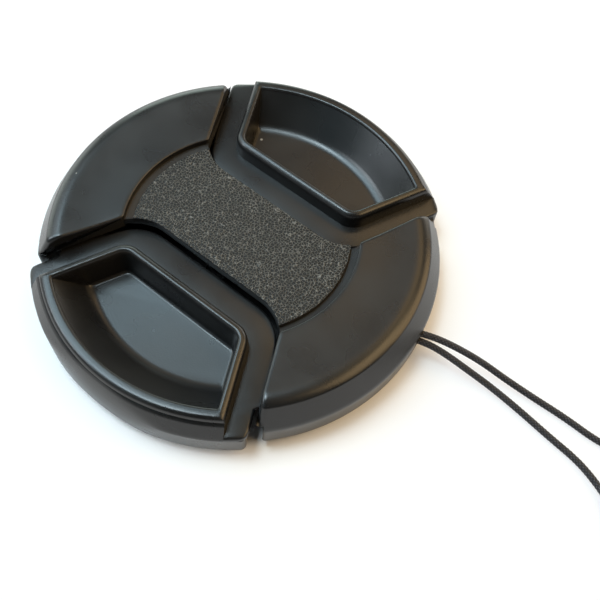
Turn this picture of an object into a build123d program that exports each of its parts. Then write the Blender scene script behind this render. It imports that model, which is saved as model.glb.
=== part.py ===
from build123d import *
import os
from math import cos, hypot, pi, radians, sin, sqrt, tan

# Camera lens cap of the centre-pinch kind with a leash, in millimetres.
# The cap lies face up on a table: +Z up, origin under its middle at table height.
# The two pinch keys slide along Y, the two raised wings stand at +X and -X.

# Outer ring and the flared wall above it
ring_r = 30.0
ring_wall = 3.2
ring_top_z = 5.8
seat_z = 1.7
seat_width = 1.7
flare_run = 2.0
rim_z = 9.2
skirt_edge = 0.4

# Wings
wing_inner_r = 17.45
wing_inner_z = 9.1
rim_band = 2.1
crest_z = 9.8
wing_wall = 1.4
wing_apex_x = 10.2
wing_end_angle = 25.2
wing_corner_r = 0.6

# Centre panel
panel_half = 6.84
panel_z = 8.5
panel_thick = 1.4
groove_width = 1.2
panel_edge_r = 7.0
groove_depth = 0.7
groove_rise = 0.45

# Pinch keys, drawn in their free place, pushed out by their springs
key_travel = 2.2
key_clear = 0.5
key_shift = 1.4
frame_z = 6.3
frame_thick = 1.4
frame_gap = 0.28
frame_tuck = 1.0
slide_gap = 0.35
notch_gap = 0.5
well_side = 5.2
well_inner_y = 13.2
well_floor_z = 4.0
well_draft = 7.0
well_corner_r = 1.8
well_bowl_r = 4.2
floor_thick = 1.3
lip_z = 9.0
lip_width = 1.35
lip_draft = 4.0
lip_edge_r = 0.45
cup_flare_run = 1.65
cup_rim_width = 1.85
cup_rim_drop = 0.4
relief_r = 45.0
relief_foot_z = 2.3
relief_bulge = 0.35

# Thread claws under the keys, for a 58 mm filter thread of 0.75 mm pitch
claw_inset = 1.4
claw_wall = 1.6
claw_lift = 0.15
claw_half_angle = 34.0
thread_pitch = 0.75
thread_depth = 0.4

# Key guides under the wings
arm_inset = 8.2
arm_width = 2.0
arm_depth = 2.6
arm_end_y = 3.0
arm_root_y = 17.0
hook_reach = 1.4
hook_thick = 1.2
rail_gap = 0.3
rail_width = 1.2
rail_length = 6.5
stop_gap = 0.1

# Springs along the middle, under the panel
rib_width = 7.0
rib_thick = 1.2
spigot_r = 0.9
spigot_length = 1.2
spring_mean_r = 1.5
spring_wire = 0.4
spring_turns = 6
spring_seat_width = 6.4
spring_seat_depth = 2.3

# Back plate, held by four heat-staked posts
plate_z = 1.2
plate_thick = 1.2
plate_gap = 1.7
post_inset = 3.9
post_y = 7.0
post_r = 1.2
stake_r = 0.7
stake_head_r = 1.25
stake_head = 0.45
stake_gap = 0.05

# Leash
cord_d = 1.05
hole_angle = 7.2
hole_z = 4.2
hole_r = 1.3
knot_r = 1.45
knot_gap = 0.1
coil_x = 69.6
coil_y = 6.1
coil_mean_r = 6.0
coil_rows = 3
coil_layers = 2
tie_thick = 0.3
tie_width = 2.2
tie_gap = 0.15

strand_a_points = [
    (26.2, 3.60, 4.50),
    (28.0, 3.86, 4.62),
    (30.1, 4.30, 4.62),
    (32.5, 5.25, 4.35),
    (35.4, 6.30, 3.60),
    (39.0, 7.40, 2.55),
    (43.2, 8.20, 1.55),
    (48.0, 8.62, 0.85),
    (53.2, 8.66, 0.60),
    (58.2, 8.50, 0.57),
    (62.4, 9.60, 0.62),
    (65.9, 12.00, 0.86),
    (69.0, 13.12, 0.97),
]
strand_b_points = [
    (26.2, 2.90, 3.80),
    (28.0, 3.12, 3.78),
    (30.2, 3.46, 3.75),
    (32.5, 3.90, 3.55),
    (35.2, 4.30, 2.95),
    (38.6, 4.52, 2.05),
    (42.6, 4.62, 1.20),
    (47.6, 4.58, 0.70),
    (53.0, 4.36, 0.57),
    (58.0, 3.96, 0.60),
    (62.3, 2.62, 0.92),
    (65.9, 0.30, 1.75),
    (69.0, -0.90, 2.02),
]

# Worked-out places
rim_r = ring_r - flare_run
crest_r = rim_r - rim_band
bore_r = ring_r - ring_wall
skirt_r = ring_r - seat_width
panel_r = wing_inner_r - groove_width
cup_rim_r = ring_r - cup_flare_run
well_r = cup_rim_r - cup_rim_width
claw_r = ring_r - claw_inset
claw_inner_r = claw_r - claw_wall
arm_x = bore_r - arm_inset
plate_r = bore_r - plate_gap
post_x = bore_r - post_inset
end_slope = tan(radians(wing_end_angle))
end_cos = cos(radians(wing_end_angle))
end_sin = sin(radians(wing_end_angle))
wing_foot_z = frame_z + slide_gap
ring_notch = key_travel * end_sin + key_clear - notch_gap
panel_under_z = panel_z - panel_thick
frame_under_z = frame_z - frame_thick
plate_top_z = plate_z + plate_thick
inside_foot_z = plate_top_z + stake_gap
frame_inner_y = panel_half + frame_gap
spring_z = (inside_foot_z + panel_under_z) / 2
far = 2 * ring_r


def face_of(points):
    """A flat face inside a closed run of straight lines."""
    return make_face(Polyline(*points, close=True))


def turned(points):
    """A solid of revolution about Z from (radius, height) points."""
    return revolve(Plane.XZ * face_of(points), Axis.Z)


def block(x0, x1, y0, y1, z0, z1):
    """A box between two corners."""
    return Pos(x0, y0, z0) * Box(x1 - x0, y1 - y0, z1 - z0, align=(Align.MIN,) * 3)


def wing_wedge(margin):
    """Plan of the +X wing: everything past its two end lines, less a margin."""
    apex = wing_apex_x + margin / end_cos
    return face_of([(apex, 0), (apex + end_slope * far, far), (apex + end_slope * far, -far)])


def key_sector(margin, inner_y):
    """Plan between the wing ends on the -Y side, a margin clear of them, from inner_y outwards."""
    half = wing_apex_x - margin / end_cos
    near = half + end_slope * inner_y
    wide = half + end_slope * far
    return face_of([(-near, -inner_y), (near, -inner_y), (wide, -far), (-wide, -far)])


def both_sides(shape):
    """The shape and its copy turned half round about Z."""
    return shape + Rot(0, 0, 180) * shape


def panel_plan():
    """Plan of the centre panel: straight sides that flare into the wing corners."""
    b = wing_apex_x * end_slope
    a = 1 + end_slope ** 2
    corner_y = (sqrt(b * b - a * (wing_apex_x ** 2 - wing_inner_r ** 2)) - b) / a
    corner_x = wing_apex_x + end_slope * corner_y
    rise = corner_y - panel_half
    straight = corner_x - sqrt(2 * panel_edge_r * rise - rise ** 2)
    deep = wing_inner_r + wing_wall
    side = Line((-straight, panel_half), (straight, panel_half))
    right = TangentArc((straight, panel_half), (corner_x, corner_y), tangent=(1, 0))
    left = mirror(right, Plane.YZ)
    ends = Polyline(
        (corner_x, corner_y), (deep, corner_y), (deep, 0),
        (-deep, 0), (-deep, corner_y), (-corner_x, corner_y),
    )
    upper = make_face(side + right + left + ends) & Circle(wing_inner_r + wing_wall / 2)
    return upper + mirror(upper, Plane.XZ)


def is_wing_corner(edge):
    """True for the edges where a wing's end meets its flared wall."""
    middle = edge @ 0.5
    on_end = abs(abs(middle.Y) * end_slope + wing_apex_x - middle.X) < 0.01
    return on_end and hypot(middle.X, middle.Y) > rim_r and middle.Z > wing_foot_z


def make_front_body():
    """Wings, panel, flared wall, ring, guides and posts as one moulding."""
    slope = (crest_z - wing_inner_z) / (crest_r - wing_inner_r)
    rim = TangentArc((crest_r, crest_z), (rim_r, rim_z), tangent=(1, slope))
    rest = Polyline(
        (rim_r, rim_z), (ring_r, ring_top_z), (ring_r, seat_z), (skirt_r, seat_z),
        (skirt_r, skirt_edge), (skirt_r - skirt_edge, 0), (bore_r, 0), (bore_r, wing_foot_z),
        (wing_inner_r, wing_foot_z), (wing_inner_r, wing_inner_z), (crest_r, crest_z),
    )
    wing = revolve(Plane.XZ * make_face(rim + rest), Axis.Z)
    over_keys = Pos(0, 0, wing_foot_z) * extrude(wing_wedge(0), crest_z)
    wing &= extrude(wing_wedge(ring_notch), crest_z) + over_keys
    corners = [e for e in wing.edges() if is_wing_corner(e)]
    wing = fillet(corners, wing_corner_r)
    hollow = turned([
        (wing_inner_r + wing_wall, seat_z), (wing_inner_r + wing_wall, wing_inner_z - wing_wall),
        (crest_r, crest_z - wing_wall), (bore_r, rim_z - wing_wall), (bore_r, seat_z),
    ])
    wing -= hollow & extrude(wing_wedge(wing_wall), crest_z)

    rail_x0 = arm_x + arm_width / 2 + rail_gap
    rail_y0 = arm_end_y + hook_thick + stop_gap
    for y0 in (rail_y0, -rail_y0 - rail_length):
        wing += block(rail_x0, rail_x0 + rail_width, y0, y0 + rail_length, inside_foot_z,
                      wing_inner_z - wing_wall / 2)
    for y in (post_y, -post_y):
        at = Pos(post_x, y, 0)
        up = (Align.CENTER, Align.CENTER, Align.MIN)
        wing += at * Pos(0, 0, inside_foot_z) * Cylinder(
            post_r, wing_inner_z - wing_wall / 2 - inside_foot_z, align=up)
        wing += at * Pos(0, 0, plate_z - stake_gap) * Cylinder(
            stake_r, inside_foot_z - plate_z + stake_gap, align=up)
        wing += at * Pos(0, 0, plate_z - stake_gap - stake_head) * Cone(
            stake_r, stake_head_r, stake_head, align=up)

    panel = Pos(0, 0, panel_under_z) * extrude(panel_plan(), panel_thick)
    groove_z = panel_z - groove_depth
    groove_end_r = wing_inner_r + wing_wall
    panel -= turned([
        (panel_r, groove_z), (wing_inner_r, groove_z + groove_rise), (groove_end_r, groove_z + groove_rise),
        (groove_end_r, panel_z), (panel_r, panel_z),
    ])
    panel += block(-rib_width / 2, rib_width / 2, -rib_thick / 2, rib_thick / 2, inside_foot_z, panel_under_z)
    panel += Pos(0, 0, spring_z) * Rot(90, 0, 0) * Cylinder(spigot_r, rib_thick + 2 * spigot_length)

    leash_hole = Rot(0, 0, hole_angle) * Pos(bore_r, 0, hole_z) * Rot(0, 90, 0) * Cylinder(hole_r, far / 2)
    return panel + both_sides(wing) - leash_hole


def make_front_key():
    """The -Y key: frame plate, finger cup, outer wall, thread claw, arms and spring seat."""
    axis = Pos(0, -key_shift, 0)
    under_z = well_floor_z - floor_thick
    relief_run = ring_r - cup_rim_r
    relief_y = relief_r - ring_r - key_shift
    relief_top_z = lip_z - cup_rim_drop
    relief_arc = ThreePointArc(
        (relief_r - relief_run, relief_top_z),
        (relief_r - relief_run / 2 + relief_bulge, (relief_top_z + relief_foot_z) / 2),
        (relief_r, relief_foot_z),
    )
    relief_rest = Polyline(
        (relief_r, relief_foot_z), (relief_r, 0), (0, 0), (0, lip_z + lip_z),
        (relief_r - relief_run, lip_z + lip_z), (relief_r - relief_run, relief_top_z),
    )
    relief = Pos(0, relief_y, 0) * revolve(Plane.XZ * make_face(relief_arc + relief_rest), Axis.Z)

    cup_plan = key_sector(well_side - lip_width, well_inner_y - lip_width)
    corner = [v for v in cup_plan.vertices() if v.Y > -ring_r]
    cup_plan = fillet(corner, well_corner_r + lip_width)
    cup = Pos(0, 0, lip_z) * extrude(cup_plan, under_z - lip_z, taper=-lip_draft)
    cup &= axis * turned([
        (0, under_z), (ring_r, under_z), (ring_r, ring_top_z),
        (cup_rim_r, lip_z - cup_rim_drop), (cup_rim_r - cup_rim_drop, lip_z), (0, lip_z),
    ])

    well_plan = key_sector(well_side, well_inner_y)
    corner = [v for v in well_plan.vertices() if v.Y > -ring_r]
    well_plan = fillet(corner, well_corner_r)
    well = Pos(0, 0, lip_z) * extrude(well_plan, well_floor_z - lip_z, taper=well_draft)
    bowl_face = face_of([(0, well_floor_z), (well_r, well_floor_z), (well_r, lip_z), (0, lip_z)])
    bowl_corner = [v for v in bowl_face.vertices() if v.X > 0 and v.Y < lip_z]
    well &= axis * revolve(Plane.XZ * fillet(bowl_corner, well_bowl_r), Axis.Z)

    cup -= well
    lip = cup.faces().filter_by(lambda f: f.center().Z > lip_z - lip_edge_r).sort_by(Axis.Z)[-1]
    soft_edges = [e for e in lip.edges() if (e @ 0.5).Y > -key_shift - cup_rim_r + 2 * lip_edge_r]
    cup = fillet(soft_edges, lip_edge_r)

    wall = axis * turned([
        (claw_inner_r, seat_z), (ring_r, seat_z), (ring_r, frame_z), (claw_inner_r, frame_z),
    ])
    wall &= extrude(key_sector(notch_gap, frame_inner_y), frame_z)

    tooth = thread_pitch / 2
    first = claw_lift + tooth / 2
    claw = axis * turned([
        (claw_inner_r, claw_lift), (claw_r, claw_lift), (claw_r, first),
        (claw_r + thread_depth, first + tooth / 2), (claw_r, first + tooth),
        (claw_r, first + thread_pitch), (claw_r, seat_z + floor_thick), (claw_inner_r, seat_z + floor_thick),
    ])
    half = far * tan(radians(claw_half_angle))
    claw &= extrude(face_of([(0, 0), (half, -far), (-half, -far)]), frame_z)

    frame_plan = key_sector(-frame_tuck, frame_inner_y) & Circle(bore_r - wing_wall)
    frame_plan += key_sector(notch_gap, frame_inner_y) & (Pos(0, -key_shift) * Circle(ring_r - wing_wall))
    frame_plan -= offset(panel_plan(), frame_gap)
    frame_plan -= well_plan & (Pos(0, -key_shift) * Circle(well_r))
    frame = Pos(0, 0, frame_under_z) * extrude(frame_plan, frame_thick)

    arm = block(arm_x - arm_width / 2, arm_x + arm_width / 2, -arm_root_y, -arm_end_y,
                frame_z - arm_depth, frame_z)
    arm += block(arm_x, arm_x + arm_width / 2 + hook_reach, -arm_end_y - hook_thick, -arm_end_y,
                 frame_z - arm_depth, frame_z)
    foot_x = wing_apex_x + frame_tuck / end_cos + end_slope * arm_root_y - arm_width / 2
    arm += block(min(foot_x, arm_x), max(foot_x, arm_x), -arm_root_y, arm_width - arm_root_y,
                 frame_z - arm_depth, frame_z)
    seat = block(-spring_seat_width / 2, spring_seat_width / 2, -frame_inner_y - spring_seat_depth,
                 -frame_inner_y, under_z, frame_z)
    seat += Pos(0, -frame_inner_y, spring_z) * Rot(90, 0, 0) * Cylinder(
        spigot_r, spigot_length, align=(Align.CENTER, Align.CENTER, Align.MAX))

    return ((cup + wall + claw) & relief) + frame + arm + mirror(arm, Plane.YZ) + seat


def make_back_plate():
    """Disc under the keys with four holes for the stakes."""
    plate = Pos(0, 0, plate_z + plate_thick / 2) * Cylinder(plate_r, plate_thick)
    for x in (post_x, -post_x):
        for y in (post_y, -post_y):
            plate -= Pos(x, y, plate_z) * Cylinder(stake_r + stake_gap, 3 * plate_thick)
    return plate


def make_front_spring():
    """Coil spring from the centre rib to the front key's seat."""
    start = rib_thick / 2 + spring_wire / 2
    length = frame_inner_y - start - spring_wire / 2
    path = Helix(length / spring_turns, length, spring_mean_r)
    wire = Plane(path @ 0, z_dir=path % 0) * Circle(spring_wire / 2)
    coil = sweep(wire, path=path, is_frenet=True)
    return Pos(0, -start, spring_z) * Rot(90, 0, 0) * coil


def cord_tube(name, points):
    """Round cord along straight runs joined by arcs as large as the runs allow."""
    knots = [Vector(*p) for p in points]
    radii = []
    for before, here, after in zip(knots, knots[1:], knots[2:]):
        turn = radians((here - before).get_angle(after - here))
        shorter = min((here - before).length, (after - here).length)
        radii.append(0.45 * shorter / tan(turn / 2))
    path = FilletPolyline(*points, radius=radii)
    tube = sweep(Plane(path @ 0, z_dir=path % 0) * Circle(cord_d / 2), path=path)
    print(name, "radii", [round(r, 1) for r in radii], "length", round(path.length, 1),
          "volume over section", round(tube.volume / (pi * cord_d ** 2 / 4), 1))
    return tube


def make_leash_coil():
    """Outer shape of the put-away turns: a ring with rounded edges."""
    wide = coil_rows * cord_d
    tall = coil_layers * cord_d
    section = Pos(coil_mean_r, tie_thick + tie_gap + tall / 2) * RectangleRounded(wide, tall, cord_d / 2)
    return Pos(coil_x, coil_y, 0) * revolve(Plane.XZ * section, Axis.Z)


def make_leash_tie():
    """Band round the coil on its far side."""
    wide = coil_rows * cord_d + 2 * tie_gap
    tall = coil_layers * cord_d + 2 * tie_gap
    outer = RectangleRounded(wide + 2 * tie_thick, tall + 2 * tie_thick, cord_d / 2 + tie_thick)
    band = extrude(outer - RectangleRounded(wide, tall, cord_d / 2), tie_width / 2, both=True)
    at = Pos(coil_x + coil_mean_r, coil_y, tie_thick + tall / 2)
    return at * Rot(90, 0, 0) * band


def make_leash_knot():
    """Stopper knot against the inside of the ring."""
    return Rot(0, 0, hole_angle) * Pos(bore_r - knot_r - knot_gap, 0, hole_z) * Sphere(knot_r)


front_key = make_front_key()
front_spring = make_front_spring()
half_turn = Rot(0, 0, 180)
nodes = {
    "front_body": make_front_body(),
    "front_pinch_key": front_key,
    "rear_pinch_key": half_turn * front_key,
    "front_key_spring": front_spring,
    "rear_key_spring": half_turn * front_spring,
    "back_plate": make_back_plate(),
    "leash_strand_upper": cord_tube("upper strand", strand_a_points),
    "leash_strand_lower": cord_tube("lower strand", strand_b_points),
    "leash_coil": make_leash_coil(),
    "leash_tie": make_leash_tie(),
    "leash_knot": make_leash_knot(),
}

os.makedirs("parts", exist_ok=True)
for name, shape in nodes.items():
    export_step(shape, f"parts/{name}.step")
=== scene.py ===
import logging
import math
from collections.abc import Sequence
from dataclasses import dataclass
from enum import Enum

import bmesh
import bpy
from mathutils import Matrix, Vector


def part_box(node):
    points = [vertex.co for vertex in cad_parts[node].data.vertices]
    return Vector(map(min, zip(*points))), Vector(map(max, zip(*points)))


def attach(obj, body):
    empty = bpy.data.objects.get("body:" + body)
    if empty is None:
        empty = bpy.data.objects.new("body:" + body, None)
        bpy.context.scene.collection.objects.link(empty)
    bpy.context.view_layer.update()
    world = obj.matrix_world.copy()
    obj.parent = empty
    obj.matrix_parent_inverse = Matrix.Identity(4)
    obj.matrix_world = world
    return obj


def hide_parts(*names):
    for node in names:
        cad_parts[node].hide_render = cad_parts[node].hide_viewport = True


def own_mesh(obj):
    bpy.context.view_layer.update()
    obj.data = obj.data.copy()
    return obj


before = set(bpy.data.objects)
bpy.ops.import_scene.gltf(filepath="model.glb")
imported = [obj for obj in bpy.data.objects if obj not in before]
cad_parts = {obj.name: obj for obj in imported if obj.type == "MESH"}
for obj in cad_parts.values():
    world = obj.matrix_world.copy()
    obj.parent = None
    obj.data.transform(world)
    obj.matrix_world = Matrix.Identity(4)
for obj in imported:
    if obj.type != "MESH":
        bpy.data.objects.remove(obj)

LOG = logging.getLogger("lens_cap")
MM = 0.001
SHARP_ANGLE = 32.0
BRAID_HEIGHT = "braid"
Flat = tuple[float, float]
Point = tuple[float, float, float]
Loop = Sequence[Point]
Material = bpy.types.Material
Piece = bpy.types.Object
Socket = bpy.types.NodeSocket


class Body(Enum):
    """The rigid bodies that pieces ride on."""

    CAP = "cap_body"
    FRONT_KEY = "front_key"
    REAR_KEY = "rear_key"


class Side(Enum):
    """The two ends of the cap that a pinch key sits at, as the turn of its plan."""

    FRONT = 1.0
    REAR = -1.0

    @property
    def body(self) -> Body:
        """The body of the key at this end."""
        return Body.FRONT_KEY if self is Side.FRONT else Body.REAR_KEY


# Small geometry helpers


def arc(centre: Flat, radius: float, start: float, end: float, count: int) -> list[Flat]:
    """Points along a circle, both ends included.

    Args:
        centre: Middle of the circle.
        radius: Its radius.
        start: First angle in degrees.
        end: Last angle in degrees.
        count: Number of points.

    Returns:
        The points in order.
    """
    turn = (math.radians(start + (end - start) * i / (count - 1)) for i in range(count))
    return [(centre[0] + radius * math.cos(a), centre[1] + radius * math.sin(a)) for a in turn]


def circle(centre: Flat, radius: float, sides: int) -> list[Flat]:
    """Points round a whole circle."""
    return arc(centre, radius, 0.0, 360.0 - 360.0 / sides, sides)


def between(first: Flat, last: Flat, count: int) -> list[Flat]:
    """Evenly spaced points on a straight line, both ends included."""
    steps = [i / (count - 1) for i in range(count)]
    return [(first[0] + (last[0] - first[0]) * t, first[1] + (last[1] - first[1]) * t) for t in steps]


def rounding(distance: float, radius: float) -> float:
    """How far a surface falls in at a distance from a rounded edge of that radius."""
    inside = max(radius - distance, 0.0)
    return radius - math.sqrt(radius ** 2 - inside ** 2)


def inset_section(section: Sequence[Flat], depths: Sequence[float]) -> list[Flat]:
    """Moves each point of a clockwise closed outline inwards along its normal.

    Args:
        section: The outline's points.
        depths: How far each one moves.

    Returns:
        The moved points.
    """
    moved = []
    count = len(section)
    for i, (here, depth) in enumerate(zip(section, depths)):
        before, after = section[i - 1], section[(i + 1) % count]
        run = Vector((after[0] - before[0], after[1] - before[1])).normalized()
        moved.append((here[0] + run.y * depth, here[1] - run.x * depth))
    return moved


def half_turn(loops: Sequence[Loop]) -> list[list[Point]]:
    """The same loops turned half round about the cap's axis."""
    return [[(-x, -y, z) for x, y, z in loop] for loop in loops]


# Modelling steps


def deselect_all() -> None:
    """Leaves edit mode and selects nothing."""
    if bpy.context.object and bpy.context.object.mode != "OBJECT":
        bpy.ops.object.mode_set(mode="OBJECT")
    bpy.ops.object.select_all(action="DESELECT")


def select_only(*pieces: Piece) -> None:
    """Selects some pieces and nothing else.

    Args:
        pieces: The pieces, of which the first is made active.
    """
    deselect_all()
    for piece in pieces:
        piece.select_set(True)
    bpy.context.view_layer.objects.active = pieces[0]


def face_outwards(piece: Piece) -> None:
    """Turns all faces of a closed piece outwards and leaves edit mode.

    Args:
        piece: The piece, in edit mode.
    """
    bpy.ops.mesh.select_all(action="SELECT")
    bpy.ops.mesh.normals_make_consistent(inside=False)
    if bmesh.from_edit_mesh(piece.data).calc_volume(signed=True) < 0.0:
        bpy.ops.mesh.flip_normals()
    bpy.ops.object.mode_set(mode="OBJECT")


def loft(name: str, loops: Sequence[Loop], sharp_angle: float = SHARP_ANGLE) -> Piece:
    """Extrudes a ring of edges through a row of loops and closes both ends.

    Args:
        name: The piece's name.
        loops: Closed loops of equally many points, in millimetres.
        sharp_angle: Edges that turn by more degrees than this stay sharp.

    Returns:
        The closed piece.
    """
    deselect_all()
    count = len(loops[0])
    bpy.ops.mesh.primitive_circle_add(vertices=count, radius=MM)
    piece = bpy.context.object
    piece.name = name
    for vertex, place in zip(piece.data.vertices, loops[0]):
        vertex.co = Vector(place) * MM
    bpy.ops.object.mode_set(mode="EDIT")
    bpy.ops.mesh.select_all(action="SELECT")
    for loop in loops[1:]:
        bpy.ops.mesh.extrude_edges_indiv()
        shape = bmesh.from_edit_mesh(piece.data)
        shape.verts.ensure_lookup_table()
        for vertex, place in zip(shape.verts[-count:], loop):
            vertex.co = Vector(place) * MM
        bmesh.update_edit_mesh(piece.data)
    bpy.ops.mesh.select_all(action="SELECT")
    bpy.ops.mesh.fill_holes(sides=0)
    face_outwards(piece)
    bpy.ops.object.shade_smooth_by_angle(angle=math.radians(sharp_angle))
    return piece


def bevelled_block(name: str, first: Point, last: Point, edge: float = 0.15,
                   sharp_angle: float = 40.0) -> Piece:
    """A box with bevelled edges.

    Args:
        name: The piece's name.
        first: One corner, in millimetres.
        last: The corner opposite it.
        edge: Width of the bevel.
        sharp_angle: Edges that turn by more degrees than this stay sharp.

    Returns:
        The box.
    """
    deselect_all()
    bpy.ops.mesh.primitive_cube_add(size=1.0)
    piece = bpy.context.object
    piece.name = name
    for vertex in piece.data.vertices:
        for i, (one, two) in enumerate(zip(first, last)):
            vertex.co[i] = MM * (max(one, two) if vertex.co[i] > 0 else min(one, two))
    bpy.ops.object.mode_set(mode="EDIT")
    bpy.ops.mesh.select_all(action="SELECT")
    bpy.ops.mesh.bevel(offset=edge * MM, segments=2, affect="EDGES")
    bpy.ops.object.mode_set(mode="OBJECT")
    bpy.ops.object.shade_smooth_by_angle(angle=math.radians(sharp_angle))
    return piece


def joined(name: str, pieces: Sequence[Piece]) -> Piece:
    """Joins finished pieces into one.

    Args:
        name: Name of the joined piece.
        pieces: What is joined.

    Returns:
        The joined piece.
    """
    select_only(*pieces)
    bpy.ops.object.join()
    bpy.context.object.name = name
    return bpy.context.object


def cut_away(piece: Piece, cutter: Piece) -> None:
    """Cuts one piece's shape out of another and deletes the cutter.

    Args:
        piece: The piece that stays.
        cutter: The shape that is taken out of it.
    """
    select_only(piece)
    cut = piece.modifiers.new("cut", "BOOLEAN")
    cut.operation = "DIFFERENCE"
    cut.object = cutter
    bpy.ops.object.modifier_apply(modifier=cut.name)
    bpy.ops.object.shade_smooth_by_angle(angle=math.radians(SHARP_ANGLE))
    bpy.data.objects.remove(cutter)


# Finishes


class NodeBook:
    """Adds and links the nodes of one material or world."""

    def __init__(self, owner: Material | bpy.types.World) -> None:
        """Opens the owner's node tree.

        Args:
            owner: The material or world.
        """
        owner.use_nodes = True
        self.owner = owner
        self.tree = owner.node_tree

    @classmethod
    def finish(cls, name: str) -> "NodeBook":
        """Starts a new material with that name."""
        return cls(bpy.data.materials.new(name))

    @property
    def surface(self) -> bpy.types.Node:
        """The material's main shader."""
        return self.tree.nodes["Principled BSDF"]

    def add(self, kind: str, **sockets: object) -> bpy.types.Node:
        """Adds a node.

        Args:
            kind: The node's type.
            sockets: Values of its inputs by their names, with _ for a space.

        Returns:
            The new node.
        """
        node = self.tree.nodes.new(kind)
        for name, value in sockets.items():
            node.inputs[name.replace("_", " ")].default_value = value
        return node

    def link(self, source: Socket, target: Socket) -> None:
        """Links two sockets."""
        self.tree.links.new(source, target)

    def feed(self, **sources: Socket) -> None:
        """Links sources to the main shader's inputs, named with _ for a space."""
        for name, source in sources.items():
            self.link(source, self.surface.inputs[name.replace("_", " ")])

    def fix(self, **values: object) -> None:
        """Sets the main shader's inputs to values, named with _ for a space."""
        for name, value in values.items():
            self.surface.inputs[name.replace("_", " ")].default_value = value

    def worked(self, operation: str, first: Socket, second: Socket) -> Socket:
        """Works two values into one.

        Args:
            operation: Kind of sum or product.
            first: One value.
            second: The other value.

        Returns:
            The result, kept between 0 and 1.
        """
        node = self.tree.nodes.new("ShaderNodeMath")
        node.operation = operation
        node.use_clamp = True
        self.link(first, node.inputs[0])
        self.link(second, node.inputs[1])
        return node.outputs["Value"]

    def ray(self, kind: str) -> Socket:
        """1 for rays of one kind, and 0 for the others."""
        return self.tree.nodes.new("ShaderNodeLightPath").outputs[f"Is {kind} Ray"]

    def mirrored(self) -> Socket:
        """1 for rays that shiny or clear pieces send on, and 0 for the others."""
        return self.worked("ADD", self.ray("Glossy"), self.ray("Transmission"))

    def object_place(self) -> Socket:
        """The Object coordinates, in metres."""
        return self.tree.nodes.new("ShaderNodeTexCoord").outputs["Object"]

    def distance(self, place: Point) -> Socket:
        """Distance from a place on the piece.

        Args:
            place: The place, in millimetres.

        Returns:
            The distance, in metres.
        """
        node = self.tree.nodes.new("ShaderNodeVectorMath")
        node.operation = "DISTANCE"
        node.inputs[1].default_value = Vector(place) * MM
        self.link(self.object_place(), node.inputs[0])
        return node.outputs["Value"]

    def noise(self, size_mm: float, detail: float) -> Socket:
        """A soft noise.

        Args:
            size_mm: About the size of its patches.
            detail: How many finer layers it has.

        Returns:
            A value from 0 to 1.
        """
        node = self.add("ShaderNodeTexNoise", Scale=1.0 / (size_mm * MM), Detail=detail)
        self.link(self.object_place(), node.inputs["Vector"])
        return node.outputs["Fac"]

    def spread(self, source: Socket, low: float, high: float, start: float = 0.3, end: float = 0.7) -> Socket:
        """Maps one span of values to another.

        Args:
            source: The value.
            low: The result at start.
            high: The result at end.
            start: Start of the value's span.
            end: End of the value's span.

        Returns:
            The mapped value.
        """
        node = self.add("ShaderNodeMapRange", From_Min=start, From_Max=end, To_Min=low, To_Max=high)
        self.link(source, node.inputs["Value"])
        return node.outputs["Result"]

    def shade(self, source: Socket, places: Flat, colours: tuple[Point, Point]) -> Socket:
        """Shades a value from one colour to another.

        Args:
            source: The value.
            places: Where along the value the two colours stand.
            colours: The two linear colours.

        Returns:
            The colour.
        """
        node = self.add("ShaderNodeValToRGB")
        for element, place, colour in zip(node.color_ramp.elements, places, colours):
            element.position = place
            element.color = (*colour, 1.0)
        self.link(source, node.inputs["Fac"])
        return node.outputs["Color"]

    def mixed(self, share: Socket, under: Socket, over: Point) -> Socket:
        """Lays one colour over another. The node's colour sockets have no names of their own.

        Args:
            share: Share of the colour on top.
            under: The colour below.
            over: The colour on top.

        Returns:
            The mixed colour.
        """
        node = self.tree.nodes.new("ShaderNodeMix")
        node.data_type = "RGBA"
        node.inputs[7].default_value = (*over, 1.0)
        self.link(share, node.inputs[0])
        self.link(under, node.inputs[6])
        return node.outputs[2]

    def relief(self, *heights: tuple[Socket, float]) -> None:
        """Bumps the surface.

        Args:
            heights: Values from 0 to 1, each with its depth in millimetres.
        """
        normal = None
        for height, depth_mm in heights:
            node = self.add("ShaderNodeBump", Strength=1.0, Distance=depth_mm * MM)
            self.link(height, node.inputs["Height"])
            if normal is not None:
                self.link(normal, node.inputs["Normal"])
            normal = node.outputs["Normal"]
        self.feed(Normal=normal)

    def blend(self, share: Socket, under: Socket, over: Socket, output: str) -> None:
        """Shows one shader over another.

        Args:
            share: Share of the shader on top.
            under: The shader below.
            over: The shader on top.
            output: Name of the owner's output node.
        """
        mix = self.add("ShaderNodeMixShader")
        self.link(share, mix.inputs["Fac"])
        self.link(under, mix.inputs[1])
        self.link(over, mix.inputs[2])
        self.link(mix.outputs["Shader"], self.tree.nodes[output].inputs["Surface"])


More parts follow.
